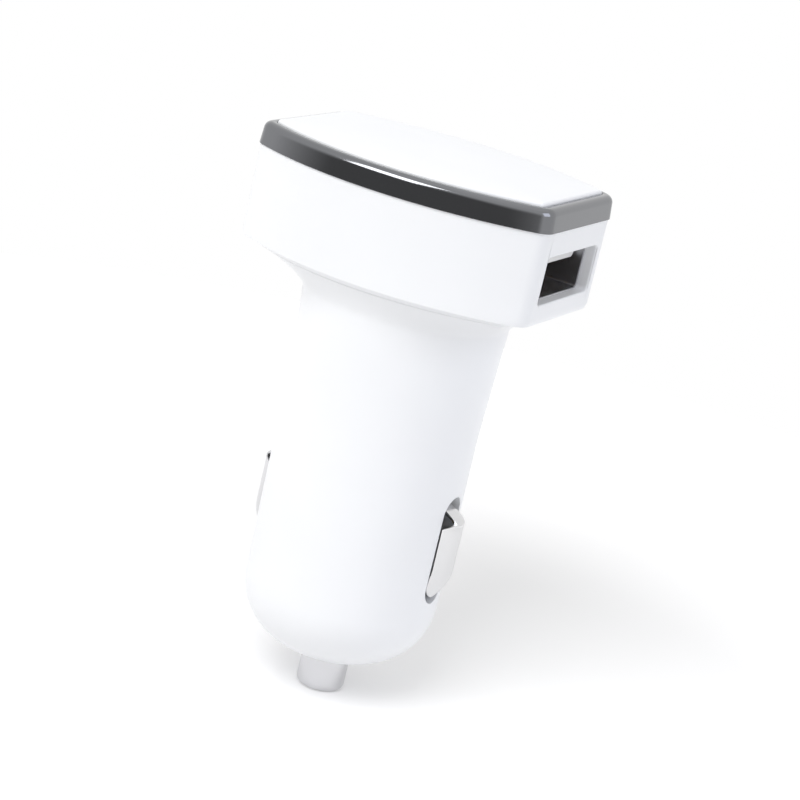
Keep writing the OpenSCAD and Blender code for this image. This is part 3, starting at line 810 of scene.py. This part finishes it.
def makeTongue():
    high = port["middle"] + usb["innerHigh"] / 2
    back = usb["front"] - usb["length"]
    top = high - usb["tongueGap"]
    low = top - usb["tongueThick"]
    front = usb["front"] - usb["tongueIn"]
    start = back + usb["blockLength"] - usb["tongueRoot"]
    size = (front - start, usb["tongueWide"], usb["tongueThick"])
    tongue = newCube("usb_tongue_right_moulding", size, ((front + start) / 2, 0, (top + low) / 2))
    # a slant along the lower edges and a soft nose, so that a plug finds its way
    pick(tongue, "EDGE", lambda mid, edge: abs(mid.z - low) < near and abs(mid.y) > near)
    bevelEdges(usb["tongueBevel"], 1)
    pick(tongue, "EDGE", lambda mid, edge: all(abs(v.co.x / mm - front) < near for v in edge.verts))
    bevelEdges(usb["tongueNose"], softSteps)
    editOff()
    # the block that holds it at the back of the shell
    size = (usb["blockLength"], usb["innerWide"], high - usb["boardTop"])
    place = (back + usb["blockLength"] / 2, 0, (high + usb["boardTop"]) / 2)
    cut(tongue, roundedBar("block", size, place, usb["blockEdge"]), "UNION")
    return tongue


shellParts = [makeShell()]
shellParts += [makeFinger(up, side) for up in (1, -1) for side in (1, -1)]
shellParts += [makeLeg(x, side) for x in usb["legs"] for side in (1, -1)]
caseRight = joinPieces("usb_case_right", shellParts)
editOn(caseRight)
closeUp(caseRight)
caseLeft = turnedCopy(caseRight, "usb_case_left")
tongueRight = makeTongue()
tongueLeft = turnedCopy(tongueRight, "usb_tongue_left_moulding")
finishPiece(caseRight, "charger", tinnedSheet, ["usb_shell_right"])
finishPiece(caseLeft, "charger", tinnedSheet, ["usb_shell_left"])
finishPiece(tongueRight, "charger", mouldedNylon, ["usb_tongue_right"])
finishPiece(tongueLeft, "charger", mouldedNylon, ["usb_tongue_left"])
print("USB sockets made")


# Finishes of the coil spring and of the parts that stay as the CAD model has them

# green lacquer on glass epoxy
solderMask, tree, shader = baseMaterial("solderMask", "#1c6b43", {"IOR": 1.5})
surfaceNoise(tree, shader, grain=0.35, height=0.003, roughness=0.34, spread=0.05)
colourDrift(tree, shader, "#17603b", "#22774c", 1.2)

# gold-flashed contact strips
goldFlash, tree, shader = baseMaterial("goldFlash", "#e2b866", {"Metallic": 1.0})
surfaceNoise(tree, shader, grain=0.3, height=0.001, roughness=0.22, spread=0.05)

# plain stamped brass
drawnBrass, tree, shader = baseMaterial("drawnBrass", "#c8a45c", {"Metallic": 1.0})
surfaceNoise(tree, shader, grain=0.4, height=0.002, roughness=0.28, spread=0.06)

# drawn steel wire
springSteel, tree, shader = baseMaterial("springSteel", "#a9aaac", {"Metallic": 1.0})
surfaceNoise(tree, shader, grain=0.3, height=0.002, roughness=0.3, spread=0.06)

# the coil's pressed core, matt dark grey
sinteredFerrite, tree, shader = baseMaterial("sinteredFerrite", "#3a3b3e", {"IOR": 1.6})
surfaceNoise(tree, shader, grain=0.25, height=0.006, roughness=0.62, spread=0.08)

# the capacitors' cans
drawnAluminium, tree, shader = baseMaterial("drawnAluminium", "#cfd0d3", {"Metallic": 1.0})
surfaceNoise(tree, shader, grain=0.5, height=0.002, roughness=0.26, spread=0.06)

# black chip and diode bodies, finely matt
mouldedEpoxy, tree, shader = baseMaterial("mouldedEpoxy", "#1b1b1d", {"IOR": 1.55})
surfaceNoise(tree, shader, grain=0.15, height=0.004, roughness=0.5, spread=0.06)

# red PVC with a soft sheen
wireInsulation, tree, shader = baseMaterial("wireInsulation", "#b8241f", {"IOR": 1.53})
surfaceNoise(tree, shader, grain=0.4, height=0.003, roughness=0.42, spread=0.05)

# tan bodies of the fuse and the small chips
firedCeramic, tree, shader = baseMaterial("firedCeramic", "#b99c72", {"IOR": 1.6})
surfaceNoise(tree, shader, grain=0.2, height=0.002, roughness=0.45, spread=0.05)

nodeFinishes = {
    "head_board": solderMask, "barrel_board": solderMask,
    "usb_pins_right": goldFlash, "usb_pins_left": goldFlash,
    "spring_seat": drawnBrass,
    "contact_lead_right": wireInsulation, "contact_lead_left": wireInsulation,
    "inductor": sinteredFerrite, "input_capacitor": drawnAluminium, "output_capacitor": drawnAluminium,
    "converter_chip": mouldedEpoxy, "diode": mouldedEpoxy, "fuse": firedCeramic, "chip_parts": firedCeramic,
}
tipSpring = finishPiece(makeSpring(), "charger", springSteel, ["contact_spring"])
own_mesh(tipSpring)
for name, material in nodeFinishes.items():
    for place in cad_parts[name].material_slots:
        place.material = material
print("inner parts finished")


# Floor, light and camera

studio = {
    # in metres, as lamps, floor and camera stand in the scene
    "floorRadius": 0.16, "floorSides": 128, "floorColour": "#f4f4f5",
    "floorGlow": 0.19, "farGlow": 0.5, "glowFrom": 0.06, "glowTo": 0.13,
    "ambient": 0.61, "front": (-0.134, -0.950, -0.28), "frontDark": 0.2, "darkFrom": 0.3, "darkTo": 0.75,
    "lampAim": (0, 0, 0.035),
    "camera": {"lens": 112.5, "sensor": 36, "azimuth": 22.99, "elevation": 16.08, "roll": 13.12,
               "aim": (0, 0, 0.032), "across": -0.00173, "up": -0.00055, "distance": 0.26058},
}
plainWhite = (1, 1, 1, 1)
lamps = [
    # name, place, size, power, colour, what it lights
    ("keySoftbox", (-0.185, -0.360, 0.41), 0.30, 1.7, "#ffffff", "plug"),
    ("fillSoftbox", (0.386, -0.054, 0.26), 0.30, 0.48, "#e9eeff", "plug"),
    ("topSoftbox", (0.02, 0.10, 0.45), 0.34, 0.05, "#ffffff", "all"),
    ("shadowSoftbox", (0, -0.40, 0.41), 0.30, 1.75, "#ffffff", "floor"),
]


def makeFloor():
    deselectAll()
    bpy.ops.mesh.primitive_circle_add(vertices=studio["floorSides"], radius=studio["floorRadius"],
                                      fill_type="NGON")
    floor = bpy.context.object
    floor.name = "paper_floor"
    mat = bpy.data.materials.new("whitePaper")
    mat.use_nodes = True
    tree = mat.node_tree
    tree.nodes.clear()
    path = addNode(tree, "ShaderNodeLightPath")
    seen = addNode(tree, "ShaderNodeMath", {"operation": "MAXIMUM"},
                   {0: path.outputs["Is Camera Ray"], 1: path.outputs["Is Glossy Ray"]})
    # the paper gets brighter away from the plug, so that no horizon shows
    coords = addNode(tree, "ShaderNodeTexCoord")
    far = addNode(tree, "ShaderNodeVectorMath", {"operation": "LENGTH"}, {0: coords.outputs["Object"]})
    rise = addNode(tree, "ShaderNodeMapRange",
                   {"From Min": studio["glowFrom"], "From Max": studio["glowTo"],
                    "To Min": studio["floorGlow"], "To Max": studio["farGlow"]},
                   {"Value": far.outputs["Value"]})
    glow = addNode(tree, "ShaderNodeMath", {"operation": "MULTIPLY"},
                   {0: seen.outputs[0], 1: rise.outputs["Result"]})
    paper = addNode(tree, "ShaderNodeBsdfDiffuse", {"Color": linearColour(studio["floorColour"])})
    light = addNode(tree, "ShaderNodeEmission", {"Color": plainWhite}, {"Strength": glow.outputs[0]})
    both = addNode(tree, "ShaderNodeAddShader", None, {0: paper.outputs[0], 1: light.outputs[0]})
    addNode(tree, "ShaderNodeOutputMaterial", None, {"Surface": both.outputs[0]})
    floor.data.materials.append(mat)
    return floor


def makeWorld():
    world = bpy.data.worlds.new("studio")
    bpy.context.scene.world = world
    world.use_nodes = True
    tree = world.node_tree
    tree.nodes.clear()
    path = addNode(tree, "ShaderNodeLightPath")
    coords = addNode(tree, "ShaderNodeTexCoord")
    # mirrors see a room whose unlit side lies behind the camera
    front = Vector(studio["front"]).normalized()
    facing = addNode(tree, "ShaderNodeVectorMath", {"operation": "DOT_PRODUCT", 1: front},
                     {0: coords.outputs["Generated"]})
    shade = addNode(tree, "ShaderNodeMapRange",
                    {"From Min": studio["darkFrom"], "From Max": studio["darkTo"],
                     "To Min": 1.0, "To Max": studio["frontDark"]},
                    {"Value": facing.outputs["Value"]})
    room = addNode(tree, "ShaderNodeBackground", {"Color": plainWhite},
                   {"Strength": shade.outputs["Result"]})
    white = addNode(tree, "ShaderNodeBackground", {"Color": plainWhite, "Strength": 1.0})
    ambient = addNode(tree, "ShaderNodeBackground", {"Color": plainWhite, "Strength": studio["ambient"]})
    mirrored = addNode(tree, "ShaderNodeMixShader", None,
                       {0: path.outputs["Is Glossy Ray"], 1: ambient.outputs[0], 2: room.outputs[0]})
    # the camera sees plain white
    direct = addNode(tree, "ShaderNodeMath", {"operation": "MAXIMUM"},
                     {0: path.outputs["Is Camera Ray"], 1: path.outputs["Is Transmission Ray"]})
    shown = addNode(tree, "ShaderNodeMixShader", None,
                    {0: direct.outputs[0], 1: mirrored.outputs[0], 2: white.outputs[0]})
    addNode(tree, "ShaderNodeOutputWorld", None, {"Surface": shown.outputs[0]})


def makeLamp(name, place, size, power, colour, lit, floor):
    data = bpy.data.lights.new(name, "AREA")
    data.size = size
    data.energy = power
    data.color = linearColour(colour)[:3]
    lamp = bpy.data.objects.new(name, data)
    bpy.context.scene.collection.objects.link(lamp)
    lamp.location = place
    aim = Vector(studio["lampAim"]) - lamp.location
    lamp.rotation_euler = aim.to_track_quat("-Z", "Y").to_euler()
    if lit != "all":
        # the key and the fill leave the floor out and one lamp lights it alone, for one soft shadow
        group = bpy.data.collections.new(name + "Lights")
        group.objects.link(floor)
        linking = group.collection_objects[0].light_linking
        linking.link_state = "INCLUDE" if lit == "floor" else "EXCLUDE"
        lamp.light_linking.receiver_collection = group


def makeCamera():
    view = studio["camera"]
    az, el, roll = [math.radians(view[k]) for k in ("azimuth", "elevation", "roll")]
    back = Vector((math.sin(az) * math.cos(el), -math.cos(az) * math.cos(el), math.sin(el)))
    right = Vector((0, 0, 1)).cross(back).normalized()
    up = back.cross(right)
    tiltedRight = right * math.cos(roll) + up * math.sin(roll)
    tiltedUp = up * math.cos(roll) - right * math.sin(roll)
    data = bpy.data.cameras.new("camera")
    data.lens = view["lens"]
    data.sensor_width = view["sensor"]
    camera = bpy.data.objects.new("camera", data)
    bpy.context.scene.collection.objects.link(camera)
    place = (Vector(view["aim"]) - tiltedRight * view["across"] - tiltedUp * view["up"]
             + back * view["distance"])
    turn = Matrix((tiltedRight, tiltedUp, back)).transposed()
    camera.matrix_world = Matrix.Translation(place) @ turn.to_4x4()
    bpy.context.scene.camera = camera


floor = makeFloor()
makeWorld()
for lamp in lamps:
    makeLamp(*lamp, floor)
makeCamera()
bpy.context.scene.view_settings.view_transform = "Standard"
print("studio made")
